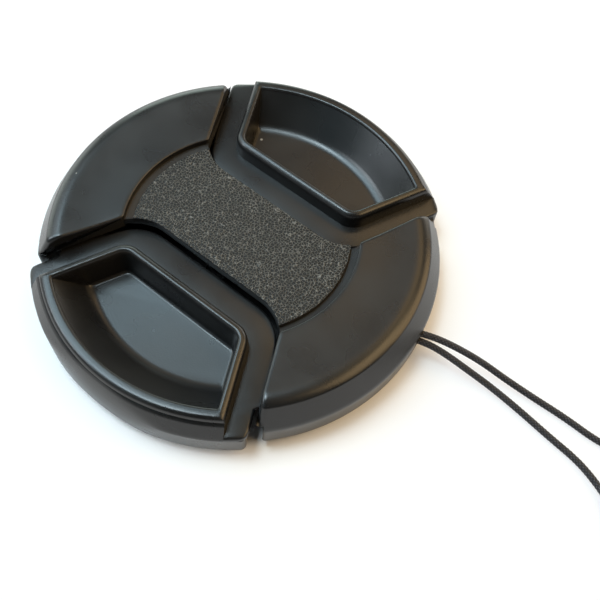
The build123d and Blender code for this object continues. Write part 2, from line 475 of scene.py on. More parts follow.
@dataclass(frozen=True)
class SatinPlastic:
    """Smooth moulded black plastic with a soft sheen and two specks of dust."""

    name: str = "satin_black_plastic"
    tones: tuple[Point, Point] = ((0.007, 0.007, 0.0073), (0.012, 0.0117, 0.0114))
    tone_places: Flat = (0.3, 0.75)
    roughness: Flat = (0.24, 0.33)
    gloss: float = 0.55
    cloud_mm: float = 9.0
    cloud_detail: float = 3.0
    skin_mm: float = 0.28
    skin_detail: float = 4.0
    skin_depth_mm: float = 0.008
    dust: Point = (0.30, 0.29, 0.27)
    speck_core: float = 0.6
    specks: tuple[tuple[Point, float], ...] = (((-11.02, 18.05, 4.0), 0.26), ((-25.0, -8.6, 9.76), 0.14))

    def build(self) -> Material:
        """Makes the material with clouded sheen, a fine moulded skin and specks of dust.

        Returns:
            The material.
        """
        book = NodeBook.finish(self.name)
        cloud = book.noise(self.cloud_mm, self.cloud_detail)
        colour = book.shade(cloud, self.tone_places, self.tones)
        for place, radius_mm in self.specks:
            edge = radius_mm * MM
            inside = book.spread(book.distance(place), 1.0, 0.0, edge * self.speck_core, edge)
            colour = book.mixed(inside, colour, self.dust)
        book.feed(Base_Color=colour, Roughness=book.spread(cloud, *self.roughness))
        book.relief((book.noise(self.skin_mm, self.skin_detail), self.skin_depth_mm))
        book.fix(Specular_IOR_Level=self.gloss)
        return book.owner


@dataclass(frozen=True)
class PebbleGrain:
    """The centre panel's fine pebbled grain, with painted highlights on its ridge tops."""

    name: str = "pebble_grain_plastic"
    # The dark tone is the plastic's own black, left in the pits; the pale tone is a painted highlight on the
    # ridge tops
    tones: tuple[Point, Point] = ((0.006, 0.006, 0.006), (0.20, 0.194, 0.178))
    tone_places: Flat = (0.14, 0.62)
    roughness: Flat = (0.62, 0.40)
    gloss: float = 0.3
    pebble_mm: float = 0.44
    unevenness: float = 0.9
    ridge_width: float = 0.16
    depth_mm: float = 0.09
    fleck_mm: float = 0.24
    fleck_detail: float = 2.0
    fleck_depth_mm: float = 0.08

    def build(self) -> Material:
        """Makes the material from black pits of uneven size in a broken net of ridges that carry painted
        highlights.

        Returns:
            The material.
        """
        book = NodeBook.finish(self.name)
        scale = 1.0 / (self.pebble_mm * MM)
        cells = book.add("ShaderNodeTexVoronoi", Scale=scale, Randomness=self.unevenness)
        cells.feature = "DISTANCE_TO_EDGE"
        book.link(book.object_place(), cells.inputs["Vector"])
        ridge = book.spread(cells.outputs["Distance"], 1.0, 0.0, 0.0, self.ridge_width)
        fleck = book.noise(self.fleck_mm, self.fleck_detail)
        # Painted highlight: the ridges, and the flecks on them, are coloured paler than the pits
        painted_highlight = book.worked("MULTIPLY", ridge, fleck)
        colour = book.shade(painted_highlight, self.tone_places, self.tones)
        book.feed(Base_Color=colour, Roughness=book.spread(fleck, *self.roughness))
        book.relief((ridge, self.depth_mm), (fleck, self.fleck_depth_mm))
        book.fix(Specular_IOR_Level=self.gloss)
        return book.owner


@dataclass(frozen=True)
class BraidedNylon:
    """The leash's tightly braided black yarn."""

    name: str = "braided_nylon"
    # The dark tone is the yarn's own black; the pale tone is a painted highlight on the yarns' crowns
    tones: tuple[Point, Point] = ((0.004, 0.003, 0.004), (0.13, 0.118, 0.134))
    tone_places: Flat = (0.36, 0.60)
    roughness: Flat = (0.6, 0.85)
    fibre_mm: float = 0.09
    fibre_detail: float = 2.0
    fibre_depth_mm: float = 0.02
    sheen: float = 0.25
    sheen_roughness: float = 0.4

    def build(self) -> Material:
        """Makes the material with fine fibre and painted highlights on the yarns' crowns.

        Returns:
            The material.
        """
        book = NodeBook.finish(self.name)
        fibre = book.noise(self.fibre_mm, self.fibre_detail)
        crown = book.add("ShaderNodeAttribute")
        crown.attribute_name = BRAID_HEIGHT
        # Painted highlight: the yarns' crowns are coloured paler than the grooves between them
        painted_highlight = book.worked("MULTIPLY", crown.outputs["Fac"], fibre)
        colour = book.shade(painted_highlight, self.tone_places, self.tones)
        book.feed(Base_Color=colour, Roughness=book.spread(fibre, *self.roughness))
        book.relief((fibre, self.fibre_depth_mm))
        book.fix(Sheen_Weight=self.sheen, Sheen_Roughness=self.sheen_roughness)
        return book.owner


@dataclass(frozen=True)
class SpringSteel:
    """Drawn spring wire with a dark oiled skin."""

    name: str = "drawn_spring_wire"
    tones: tuple[Point, Point] = ((0.03, 0.029, 0.027), (0.06, 0.058, 0.054))
    tone_places: Flat = (0.3, 0.7)
    roughness: Flat = (0.25, 0.45)
    mark_mm: float = 0.1
    mark_detail: float = 3.0

    def build(self) -> Material:
        """Makes a dark metal with fine drawing marks.

        Returns:
            The material.
        """
        book = NodeBook.finish(self.name)
        marks = book.noise(self.mark_mm, self.mark_detail)
        colour = book.shade(marks, self.tone_places, self.tones)
        book.feed(Base_Color=colour, Roughness=book.spread(marks, *self.roughness))
        book.fix(Metallic=1.0)
        return book.owner


# The cap's plan


@dataclass(frozen=True)
class CapPlan:
    """Sizes that the cap's pieces share, in millimetres."""

    ring_r: float
    key_shift: float
    lip_z: float
    ring_top_z: float = 5.8
    seat_z: float = 1.7
    foot_edge: float = 0.25
    wing_apex_x: float = 10.2
    end_angle: float = 25.2
    wing_inner_r: float = 17.45
    wing_foot_z: float = 6.65
    panel_half: float = 6.84
    panel_z: float = 8.5
    panel_under_z: float = 7.1
    panel_edge_r: float = 7.0
    flare_limit: float = 85.0
    flare_finish: float = 1e-4
    frame_z: float = 6.3

    @classmethod
    def from_frame(cls) -> "CapPlan":
        """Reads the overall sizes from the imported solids.

        Returns:
            The plan.
        """
        ring_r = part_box("front_body")[1].x / MM
        key_low, key_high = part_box("front_pinch_key")
        return cls(ring_r=ring_r, key_shift=-key_low.y / MM - ring_r, lip_z=key_high.z / MM)

    @property
    def end_cos(self) -> float:
        """Cosine of the wing ends' slant."""
        return math.cos(math.radians(self.end_angle))

    @property
    def end_tan(self) -> float:
        """Tangent of the wing ends' slant."""
        return math.tan(math.radians(self.end_angle))

    def wing_angle(self, radius: float, margin: float) -> float:
        """Angle from the wing's middle to a line that margin inside its end, at a radius."""
        apex = self.wing_apex_x + margin / self.end_cos
        return math.acos(apex * self.end_cos / radius) - math.radians(self.end_angle)

    def side_x(self, margin: float, depth: float) -> float:
        """Half width of a key at a depth from the middle, margin inside the wings' end lines."""
        return self.wing_apex_x - margin / self.end_cos + self.end_tan * depth

    def slant_depth(self, half: float, shift: float, radius: float) -> float:
        """Depth at which a line with the wing ends' slant meets a circle.

        Args:
            half: Half width at which the line starts in the middle.
            shift: Depth of the circle's centre.
            radius: The circle's radius.

        Returns:
            The outer one of the two depths.
        """
        a = 1 + self.end_tan ** 2
        b = half * self.end_tan - shift
        c = half ** 2 + shift ** 2 - radius ** 2
        return (math.sqrt(b * b - a * c) - b) / a

    def side_depth(self, margin: float, radius: float) -> float:
        """Depth at which a key's side line meets a circle round the key's own axis."""
        return self.slant_depth(self.side_x(margin, 0.0), self.key_shift, radius)

    def panel_straight(self) -> float:
        """Half length of the panel's straight side, before it flares to the wing's corner.

        Returns:
            The half length.
        """
        corner_y = self.slant_depth(self.wing_apex_x, 0.0, self.wing_inner_r)
        rise = corner_y - self.panel_half
        run = math.sqrt(2 * self.panel_edge_r * rise - rise ** 2)
        return self.wing_apex_x + self.end_tan * corner_y - run

    def panel_flare(self, inset: float, end_r: float, count: int) -> list[Flat]:
        """The flare at a panel corner, from the straight side out to a radius.

        Args:
            inset: Distance inside the panel's edge, negative outside it.
            end_r: Radius at which the flare ends.
            count: Number of points.

        Returns:
            Points of the +X +Y corner.
        """
        reach = self.panel_edge_r + inset
        centre = (self.panel_straight(), self.panel_half + self.panel_edge_r)
        low, high = 0.0, self.flare_limit
        while high - low > self.flare_finish:
            middle = (low + high) / 2
            end = arc(centre, reach, -90.0, -90.0 + middle, 2)[1]
            low, high = (middle, high) if math.hypot(*end) < end_r else (low, middle)
        return arc(centre, reach, -90.0, -90.0 + low, count)

    def panel_outline(self, inset: float, end_r: float) -> list[Flat]:
        """Closed outline of the panel between two end arcs.

        Args:
            inset: Distance inside the panel's edge.
            end_r: Radius of the end arcs.

        Returns:
            The outline's points.
        """
        straight = self.panel_straight()
        flare = self.panel_flare(inset, end_r, 12)
        end_angle = math.degrees(math.atan2(flare[-1][1], flare[-1][0]))
        side = between((0.0, self.panel_half - inset), (straight, self.panel_half - inset), 10)
        quarter = side[:-1] + flare[:-1] + arc((0.0, 0.0), end_r, end_angle, 0.0, 14)
        half = quarter + [(x, -y) for x, y in reversed(quarter[:-1])]
        return half[:-1] + [(-x, -y) for x, y in half[:-1]]

    def panel_loop(self, inset: float, end_r: float, z: float) -> list[Point]:
        """The panel's outline at a height."""
        return [(x, y, z) for x, y in self.panel_outline(inset, end_r)]


# The front body


@dataclass
class FrontBody:
    """Two wings with the ring under them, and the centre panel, as one moulding."""

    plan: CapPlan
    plastic: Material
    grain: Material
    rim_r: float = 28.0
    rim_z: float = 9.2
    rim_drop: float = 0.12
    bore_r: float = 26.8
    under_r: float = 22.0
    skirt_r: float = 28.3
    skirt_edge: float = 0.4
    inner_z: float = 9.1
    crest_r: float = 25.9
    crest_z: float = 9.8
    top_dish: float = 0.12
    top_steps: int = 18
    inner_edge: float = 0.22
    shoulder_end: float = 96.0
    end_edge: float = 0.4
    corner_edge: float = 1.0
    ring_edge: float = 0.5
    # The soft bend from the flare to the ring: where it starts and ends, and its offsets in radius and height
    bend_rise: float = 0.3
    bend_fall: float = 0.5
    bend_offsets: tuple[Flat, ...] = ((-0.06, 0.02), (-0.01, -0.25))
    ring_notch: float = 0.937
    wide_notch: float = 1.24
    groove_r: float = 16.25
    groove_z: float = 7.8
    groove_rise: float = 0.45
    ledge_r: float = 17.9
    ledge_gap: float = 0.06
    ledge_top_gap: float = 0.16
    panel_edge: float = 0.22
    panel_border: float = 1.2
    grain_slope: float = 0.6
    hole_angle: float = 8.2
    hole_z: float = 4.3
    hole_r: float = 1.3
    drill_length: float = 12.0
    drill_sides: int = 40
    works_floor_z: float = 2.45
    works_top_z: float = 6.8
    rib_half: Flat = (3.5, 0.6)
    rib_top_z: float = 7.2
    rail_x: Flat = (19.9, 21.1)
    rail_y: Flat = (4.3, 10.8)
    stake_at: Flat = (22.9, 7.0)
    stake_head: tuple[Flat, ...] = ((0.25, 0.7), (0.95, 0.74), (1.25, 0.9), (1.2, 1.12), (0.7, 1.15))
    stake_neck_r: float = 0.7
    stake_post_r: float = 1.2
    stake_sides: int = 24
    end_steps: tuple[float, ...] = (0.0, 0.03, 0.08, 0.16, 0.28, 0.45, 0.7, 1.0, 1.3, 1.8)
    middle_steps: int = 60

    def flare_point(self, z: float) -> Flat:
        """Point of the flared wall at a height."""
        share = (self.rim_z - z) / (self.rim_z - self.plan.ring_top_z)
        return (self.rim_r + (self.plan.ring_r - self.rim_r) * share, z)

    def wing_section(self) -> tuple[list[Flat], list[float]]:
        """Outline of a wing above the key level.

        Returns:
            The outline, and each point's rounding at the wing's ends.
        """
        inner_r, foot_z = self.plan.wing_inner_r, self.plan.wing_foot_z
        edge = self.inner_edge
        wall = between((inner_r, foot_z), (inner_r, self.inner_z - edge), 5)[:-1]
        shoulder = arc((inner_r + edge, self.inner_z - edge), edge, 180.0, self.shoulder_end, 5)
        top = []
        for step in range(1, self.top_steps + 1):
            t = step / self.top_steps
            r = shoulder[-1][0] + (self.crest_r - shoulder[-1][0]) * t
            z = self.inner_z + (self.crest_z - self.inner_z) * t - self.top_dish * math.sin(math.pi * t)
            top.append((r, z))
        band = self.rim_band()[1:]
        flare = between(self.flare_point(self.rim_z - self.rim_drop), self.flare_point(foot_z), 7)
        under = [(self.bore_r, foot_z), (self.under_r, foot_z)]
        section = wall + shoulder + top + band + flare + under
        depths = [self.end_edge] * (len(wall) + len(shoulder) + len(top))
        for step in range(len(band)):
            depths.append(self.end_edge + (self.corner_edge - self.end_edge) * (step + 1) / len(band))
        depths += [self.corner_edge] * len(flare) + [0.0] * len(under)
        depths[0] = 0.0
        return section, depths

    def rim_band(self) -> list[Flat]:
        """The rounded band from the crest down to the rim, leaving the crest in line with the wing's top.

        Returns:
            The band's points.
        """
        crest = Vector((self.crest_r, self.crest_z))
        rim = Vector((self.rim_r, self.rim_z))
        slope = (self.crest_z - self.inner_z) / (self.crest_r - self.plan.wing_inner_r)
        down = Vector((slope, -1.0)).normalized()
        chord = rim - crest
        radius = chord.length_squared / (2 * chord.dot(down))
        centre = crest + down * radius
        start, end = (math.degrees(math.atan2(p.y - centre.y, p.x - centre.x)) for p in (crest, rim))
        return arc((centre.x, centre.y), radius, start, end, 11)

    def ring_section(self) -> tuple[list[Flat], list[float]]:
        """Outline of the ring below the key level.

        Returns:
            The outline, and each point's rounding at the ring's ends.
        """
        plan, edge = self.plan, self.plan.foot_edge
        ring_r, foot_z, top_z = plan.ring_r, plan.wing_foot_z, plan.ring_top_z
        flare = between(self.flare_point(foot_z), self.flare_point(top_z + self.bend_rise), 4)
        bend = [(ring_r + out, top_z + up) for out, up in self.bend_offsets]
        wall = between((ring_r, top_z - self.bend_fall), (ring_r, plan.seat_z + edge), 7)
        foot = arc((ring_r - edge, plan.seat_z + edge), edge, 0.0, -90.0, 4)[1:]
        skirt = [
            (self.skirt_r, plan.seat_z), (self.skirt_r, self.skirt_edge),
            (self.skirt_r - self.skirt_edge, 0.0), (self.bore_r, 0.0), (self.bore_r, foot_z),
        ]
        outside = flare + bend + wall + foot
        return outside + skirt, [self.ring_edge] * len(outside) + [0.0] * len(skirt)

    def swept(self, section: Sequence[Flat], depths: Sequence[float], first: float,
              last: float) -> list[list[Point]]:
        """Carries a section round the cap from one wing end to the other, with rounded ends.

        Args:
            section: Closed outline in radius and height.
            depths: Rounding radius of each point at the ends.
            first: Distance of the -Y end inside the wing's end line.
            last: Distance of the +Y end inside the wing's end line.

        Returns:
            Loops from the -Y end to the +Y end of the +X wing.
        """
        near = [inset_section(section, [rounding(d, depth) for depth in depths]) for d in self.end_steps]
        turns = []
        for margin, way in ((first, -1.0), (last, 1.0)):
            turns.append([
                [(r, way * self.plan.wing_angle(r, margin + d), z) for r, z in loop]
                for loop, d in zip(near, self.end_steps)
            ])
        rings = list(turns[0])
        for step in range(1, self.middle_steps):
            share = step / self.middle_steps
            ends = zip(turns[0][-1], turns[1][-1])
            rings.append([(r, a + (b - a) * share, z) for (r, a, z), (_, b, _) in ends])
        rings += reversed(turns[1])
        return [[(r * math.cos(a), r * math.sin(a), z) for r, a, z in ring] for ring in rings]

    def wing_and_ring(self, turned: bool) -> tuple[Piece, Piece]:
        """One wing and the part of the ring under it.

        Args:
            turned: Whether they are the pair on the -X side.

        Returns:
            The wing and the ring.
        """
        wide = self.wide_notch if turned else self.ring_notch
        wing = self.swept(*self.wing_section(), 0.0, 0.0)
        ring = self.swept(*self.ring_section(), wide, self.ring_notch)
        if turned:
            wing, ring = half_turn(wing), half_turn(ring)
        return loft("wing", wing), loft("ring", ring)

    def leash_hole(self, ring: Piece) -> None:
        """Cuts the leash's hole.

        Args:
            ring: The part of the ring that it goes through.
        """
        deselect_all()
        turn = math.radians(self.hole_angle)
        ring_r = self.plan.ring_r
        at = Vector((ring_r * math.cos(turn), ring_r * math.sin(turn), self.hole_z)) * MM
        bpy.ops.mesh.primitive_cylinder_add(
            vertices=self.drill_sides, radius=self.hole_r * MM, depth=self.drill_length * MM, location=at,
            rotation=(0, math.pi / 2, turn))
        cut_away(ring, bpy.context.object)

    def panel_ledge(self) -> Piece:
        """The lower ledge that the panel's end grooves run on.

        Returns:
            The ledge.
        """
        plan, edge = self.plan, self.panel_edge
        low_z = self.groove_z - edge / 3
        high_z = self.groove_z + self.groove_rise
        top_z = high_z - edge / 3
        levels = (
            (self.ledge_gap, self.ledge_r, plan.panel_under_z),
            (self.ledge_gap, self.ledge_r, high_z - edge),
            (self.ledge_top_gap, self.ledge_r, top_z),
            (self.ledge_top_gap, plan.wing_inner_r, top_z),
            (self.ledge_top_gap, self.groove_r - edge, low_z),
        )
        return loft("panel_ledge", [plan.panel_loop(*level) for level in levels])

    def panel_top(self) -> Piece:
        """The raised panel, with a rounded edge and grain on its top.

        Returns:
            The panel, with both its materials.
        """
        plan, edge = self.plan, self.panel_edge
        levels = [(0.0, plan.panel_under_z), (0.0, plan.panel_z - edge)]
        levels += arc((edge, plan.panel_z - edge), edge, 180.0, 90.0, 5)[1:]
        levels.append((self.panel_border, plan.panel_z))
        loops = [plan.panel_loop(inset, self.groove_r - inset, z) for inset, z in levels]
        panel = loft("panel_top", loops)
        panel.data.materials.append(self.grain)
        panel.data.materials.append(self.plastic)
        for face in panel.data.polygons:
            face.material_index = 0 if face.normal.z > self.grain_slope else 1
        return panel

    def inner_works(self) -> list[Piece]:
        """The spring rib, the key rails and the heat-staked posts.

        Returns:
            The pieces.
        """
        rib_x, rib_y = self.rib_half
        floor_z = self.works_floor_z
        pieces = [bevelled_block("spring_rib", (-rib_x, -rib_y, floor_z), (rib_x, rib_y, self.rib_top_z))]
        for x in (-1, 1):
            for y in (-1, 1):
                first = (self.rail_x[0] * x, self.rail_y[0] * y, floor_z)
                last = (self.rail_x[1] * x, self.rail_y[1] * y, self.works_top_z)
                pieces.append(bevelled_block("key_rail", first, last))
                pieces.append(self.stake(self.stake_at[0] * x, self.stake_at[1] * y))
        return pieces

    def stake(self, x: float, y: float) -> Piece:
        """A post with its melted head under the back plate.

        Args:
            x: Place of the post's axis across the keys' travel.
            y: Its place along the keys' travel.

        Returns:
            The post.
        """
        floor_z, post_r = self.works_floor_z, self.stake_post_r
        neck = [(self.stake_neck_r, floor_z), (post_r, floor_z), (post_r, self.works_top_z)]
        outline = list(self.stake_head) + neck
        return loft("stake", [[(*p, z) for p in circle((x, y), r, self.stake_sides)] for r, z in outline])

    def build(self) -> Piece:
        """Models the moulding, in place of its solid.

        Returns:
            The finished piece.
        """
        right, left = self.wing_and_ring(False), self.wing_and_ring(True)
        self.leash_hole(right[1])
        ledge, panel, works = self.panel_ledge(), self.panel_top(), self.inner_works()
        plain = [*right, *left, ledge, *works]
        for piece in plain:
            piece.data.materials.append(self.plastic)
        body = joined("front_body_moulding", [*plain, panel])
        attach(body, Body.CAP.value)
        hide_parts("front_body")
        return body


# The pinch keys


@dataclass
class PinchKey:
    """A sprung key: finger cup, frame plate, outer wall, thread claw, arms and spring seat."""

    plan: CapPlan
    side: Side
    plastic: Material
    well_side: float = 5.2
    well_inner: float = 13.2
    well_r: float = 26.5
    floor_z: float = 4.0
    well_draft: float = 7.0
    well_corner: float = 1.8
    corner_share: float = 0.9
    bowl_run: float = 5.3
    bowl_fillet: float = 2.4
    floor_edge: float = 0.5
    lip_width: float = 1.35
    lip_draft: float = 4.0
    lip_edge: float = 0.45
    lip_turns: tuple[float, ...] = (20.0, 40.0, 60.0, 75.0, 90.0)
    bead_edge: float = 0.9
    rim_edge: float = 0.8
    rim_turns: tuple[float, ...] = (0.0, 15.0, 30.0, 50.0, 70.0, 90.0)
    rim_r: float = 28.35
    skirt_inset: float = 0.3
    under_inset: float = 0.5
    under_z: float = 2.7
    plate_edge: float = 0.45
    plate_turns: tuple[float, ...] = (90.0, 65.0, 40.0, 20.0, 0.0)
    plate_foot: float = 5.6
    plate_lap: float = 0.06
    plate_steps: tuple[float, ...] = (0.0, 0.03, 0.08, 0.15, 0.22, 0.5, 1.2, 2.2, 3.2, 4.2)
    left_gap: float = 0.5
    right_gap: float = 0.7
    plan_corner: float = 0.9
    corner_steps: tuple[float, ...] = (0.0, 0.03, 0.09, 0.18, 0.31, 0.5, 0.72, 1.0)
    tuck: float = 1.0
    tuck_r: float = 25.4
    frame_gap: float = 0.28
    flare_past: float = 0.5
    wall_inner_r: float = 27.0
    wall_soft: float = 0.07
    wall_from_z: float = 2.4
    wall_steps: int = 7
    wall_spans: int = 70
    arc_half: int = 32
    relief_r: float = 45.0
    relief_run: float = 1.65
    relief_top_z: float = 8.6
    relief_foot_z: float = 2.3
    relief_sink: float = 0.2
    relief_bulge: float = 0.35
    relief_edge: float = 0.07
    claw_r: float = 28.6
    claw_edge: float = 0.1
    claw_foot_z: float = 0.15
    claw_top_z: float = 3.0
    claw_half_angle: float = 34.0
    claw_half: int = 24
    thread_from_z: float = 0.3
    thread_turns: int = 2
    thread_pitch: float = 0.75
    thread_depth: float = 0.4
    # One ridge of the thread, as shares of its depth and heights
    thread_ridge: tuple[Flat, ...] = ((0.0, 0.0), (1.0, 0.16), (1.0, 0.22), (0.0, 0.4))
    # Opposite corners of the guides on the +x side, as offset, depth and height
    seat_corners: tuple[Point, Point] = ((-3.2, 7.12, 2.7), (3.2, 9.4, 6.2))
    arm_corners: tuple[Point, Point] = ((17.6, 3.0, 3.7), (19.6, 15.0, 6.25))
    hook_corners: tuple[Point, Point] = ((18.6, 3.0, 3.7), (21.0, 4.2, 6.25))

    def place(self, x: float, depth: float, z: float) -> Point:
        """A point given by its offset, its depth from the middle and its height."""
        return (x * self.side.value, -depth * self.side.value, z)

    def place_round(self, radius: float, angle: float, z: float) -> Point:
        """A point given by its radius and angle round the key's own axis, and its height."""
        return self.place(radius * math.sin(angle), self.plan.key_shift + radius * math.cos(angle), z)

    def outer_r(self, angle: float, z: float) -> float:
        """Radius of the key's outer face, with the finger relief.

        Args:
            angle: Angle from the key's middle.
            z: Height.

        Returns:
            The smaller of the plain and the relieved radius, with a soft change between them.
        """
        ring_r, top_z, foot_z = self.plan.ring_r, self.plan.ring_top_z, self.relief_foot_z
        flare = (z - top_z) / (self.relief_top_z - top_z)
        wall = ring_r - self.relief_run * min(max(flare, 0.0), 1.0)
        t = min(max((z - foot_z) / (self.relief_top_z - foot_z), 0.0), 1.0)
        bulge = 4 * self.relief_bulge * t * (1 - t)
        round_r = self.relief_r - self.relief_run * t + bulge - self.relief_sink * (1 - t)
        back = self.relief_r - ring_r
        relief = math.sqrt(round_r ** 2 - (back * math.sin(angle)) ** 2) - back * math.cos(angle)
        soft = self.relief_edge
        nearer = min(wall, relief)
        return nearer - soft * math.log(math.exp((nearer - wall) / soft) + math.exp((nearer - relief) / soft))

    def inner_bend(self, out: float, count: int) -> list[Flat]:
        """The rounded corner between a cup loop's inner side and its slanted side.

        Args:
            out: Distance of the loop outside the well's edge, negative inside it.
            count: Number of points.

        Returns:
            Points from the inner side to the slanted side.
        """
        plan, inner = self.plan, self.well_inner - out
        corner = self.well_corner + (out if out > 0 else self.corner_share * out)
        back = corner / math.tan(math.radians(90 + plan.end_angle) / 2)
        centre = (plan.side_x(self.well_side - out, inner) - back, inner + corner)
        return arc(centre, corner, -90.0, -plan.end_angle, count)

    def cup_loop(self, out: float, radius: float, z: float, arc_z: float | None = None,
                 relief: bool = False) -> list[Point]:
        """One closed loop round the cup.

        Args:
            out: Distance of its inner and slanted sides outside the well's edge, negative inside it.
            radius: Radius of the outer side round the key's axis.
            z: Height of the sides.
            arc_z: Height of the outer side, if it differs.
            relief: Whether the outer side follows the relieved outer face.

        Returns:
            The loop's points.
        """
        arc_z = z if arc_z is None else arc_z
        margin = self.well_side - out
        bend = self.inner_bend(out, 9)
        end_depth = self.plan.side_depth(margin, radius)
        end_x = self.plan.side_x(margin, end_depth)
        inner = between((0.0, self.well_inner - out), bend[0], 10)[:-1]
        line = inner + bend + between(bend[-1], (end_x, end_depth), 16)[1:-1]
        end_angle = math.atan2(end_x, end_depth - self.plan.key_shift)
        outer = []
        for step in range(2 * self.arc_half + 1):
            angle = end_angle * (1 - step / self.arc_half)
            reach = min(radius, self.outer_r(angle, arc_z)) if relief else radius
            outer.append(self.place_round(reach, angle, arc_z))
        right = [self.place(x, depth, z) for x, depth in line]
        return right + outer + [self.place(-x, depth, z) for x, depth in reversed(line[1:])]

    def bowl_slant(self) -> float:
        """Slant of the bowl's straight wall, from the end of its foot's rounding up to the lip.

        Returns:
            The angle, after enough steps to settle.
        """
        slant = math.pi / 4
        for _ in range(20):
            run = self.bowl_run - self.bowl_fillet * math.sin(slant)
            rise = self.plan.lip_z - self.lip_edge - self.floor_z - self.bowl_fillet * (1 - math.cos(slant))
            slant = math.atan2(rise, run)
        return slant

    def bowl_loops(self) -> list[list[Point]]:
        """Loops up the bowl: the rounding at its foot, then its slanted walls to below the lip.

        Returns:
            The loops in order.
        """
        top, foot_steps, side_steps = self.plan.lip_z, 10, 4
        edge_z = top - self.lip_edge
        draft = math.tan(math.radians(self.well_draft))
        slant = self.bowl_slant()
        loops = []
        for step in range(foot_steps + 1):
            phi = math.pi / 2 * step / foot_steps
            foot_z = self.floor_z + self.floor_edge * (1 - math.cos(phi))
            out = -draft * (top - foot_z) - self.floor_edge * (1 - math.sin(phi))
            tilt = slant * step / foot_steps
            foot_arc_z = self.floor_z + self.bowl_fillet * (1 - math.cos(tilt))
            foot_r = self.well_r - self.bowl_run + self.bowl_fillet * math.sin(tilt)
            loops.append(self.cup_loop(out, foot_r, foot_z, foot_arc_z))
        for step in range(1, side_steps + 1):
            share = step / side_steps
            z = foot_z + (edge_z - foot_z) * share
            arc_z = foot_arc_z + (edge_z - foot_arc_z) * share
            radius = foot_r + (self.well_r - foot_r) * share
            loops.append(self.cup_loop(-draft * (top - z), radius, z, arc_z))
        return loops

    def lip_loops(self) -> list[list[Point]]:
        """Loops over the lip and down the cup's outer face, then in under it.

        Returns:
            The loops in order.
        """
        top, side_steps = self.plan.lip_z, 10
        bead_z, rim_z = top - self.bead_edge, top - self.rim_edge
        lean = math.tan(math.radians(self.lip_draft))
        loops = []
        for turn in self.lip_turns:
            phi = math.radians(turn)
            out = self.lip_edge * (1 - math.cos(phi))
            loops.append(self.cup_loop(out, self.well_r + out, top - self.lip_edge * (1 - math.sin(phi))))
        for turn in self.rim_turns:
            run, fall = 1 - math.sin(math.radians(turn)), 1 - math.cos(math.radians(turn))
            out, radius = self.lip_width - self.bead_edge * run, self.rim_r - self.rim_edge * run
            z, arc_z = top - self.bead_edge * fall, top - self.rim_edge * fall
            loops.append(self.cup_loop(out, radius, z, arc_z, relief=True))
        for step in range(1, side_steps + 1):
            share = step / side_steps
            z = bead_z + (self.plate_foot - bead_z) * share
            arc_z = rim_z + (self.plate_foot - rim_z) * share
            out = self.lip_width + lean * (bead_z - z)
            loops.append(self.cup_loop(out, self.outer_r(math.pi / 2, arc_z), z, arc_z, relief=True))
        out = self.lip_width - self.skirt_inset
        loops.append(self.cup_loop(out, self.rim_r, self.plate_foot))
        loops.append(self.cup_loop(out, self.rim_r - self.under_inset, self.under_z))
        return loops

    def cup(self) -> Piece:
        """The finger cup with its bowl, lip and relieved outer face."""
        return loft("finger_cup", self.bowl_loops() + self.lip_loops())

    def plate_edges(self, gap: float) -> tuple[list[Flat], list[Flat]]:
        """The frame plate's inner line, under the cup's wall, and its outer line, on the +x side.

        Args:
            gap: Distance of the plate's end from the wing's end line.

        Returns:
            The two lines from the outer wall to the middle.
        """
        plan = self.plan
        lean = math.tan(math.radians(self.lip_draft)) * (plan.lip_z - plan.frame_z)
        out = self.lip_width + lean - self.plate_lap
        margin = self.well_side - out
        bend = self.inner_bend(out, 12)[::-1]
        near_side = self.plate_stations(margin, margin, bend[0], 0.0)
        near = near_side + bend[1:] + between(bend[-1], (0.0, self.well_inner - out), 12)[1:]
        flare = plan.panel_flare(-self.frame_gap, plan.wing_inner_r + self.flare_past, 12)[::-1]
        far_side = self.plate_stations(gap, -self.tuck, flare[0], self.plan_corner)
        far = far_side + flare[1:] + between(flare[-1], (0.0, plan.panel_half + self.frame_gap), 12)[1:]
        return near, far

    def plate_stations(self, margin: float, inner_margin: float, last: Flat, corner: float) -> list[Flat]:
        """Points down a slanted side of the plate.

        Args:
            margin: Distance inside the wing's end line at the outer wall.
            inner_margin: The same further in, where the plate tucks under the wing.
            last: Point at which the side ends.
            corner: Rounding of its corner at the outer wall.

        Returns:
            The points from the outer wall to the last one.
        """
        plan = self.plan
        points = []
        for distance in self.plate_steps:
            inside = margin + rounding(distance, corner)
            depth = plan.side_depth(inside, plan.ring_r - distance)
            points.append((plan.side_x(inside, depth), depth))
        depth = plan.side_depth(inner_margin, self.tuck_r)
        return points + between((plan.side_x(inner_margin, depth), depth), last, 12)

    def plate_half(self, gap: float) -> list[list[Point]]:
        """Sections of the plate's +x half.

        Args:
            gap: Distance of the plate's end from the wing's end line.

        Returns:
            The sections from the outer wall to the middle.
        """
        near, far = self.plate_edges(gap)
        edge = self.plate_edge
        falls = [rounding(distance, edge) for distance in self.plate_steps]
        falls += [0.0] * (len(near) - len(falls))
        loops = []
        for inside, outside, fall in zip(near, far, falls):
            top = self.plan.frame_z - fall
            towards = (Vector(inside) - Vector(outside)).normalized()
            section = [(*inside, top)]
            for phi in (math.radians(turn) for turn in self.plate_turns):
                spot = Vector(outside) + towards * (edge * (1 - math.cos(phi)) + fall)
                section.append((*spot, top - edge + edge * math.sin(phi)))
            spot = Vector(outside) + towards * fall
            loops.append(section + [(*spot, self.plate_foot), (*inside, self.plate_foot)])
        return loops

    def plate(self) -> Piece:
        """The frame plate round the cup, with rounded edges.

        Returns:
            The plate.
        """
        right, left = self.plate_half(self.right_gap), self.plate_half(self.left_gap)
        left = [[(-x, depth, z) for x, depth, z in loop] for loop in reversed(left[:-1])]
        return loft("frame_plate", [[self.place(*p) for p in loop] for loop in right + left])

    def wall_end(self, gap: float) -> float:
        """Angle from the key's middle to the wall's end, at a gap from the wing's end line."""
        depth = self.plan.side_depth(gap, self.plan.ring_r)
        return math.atan2(self.plan.side_x(gap, depth), depth - self.plan.key_shift)

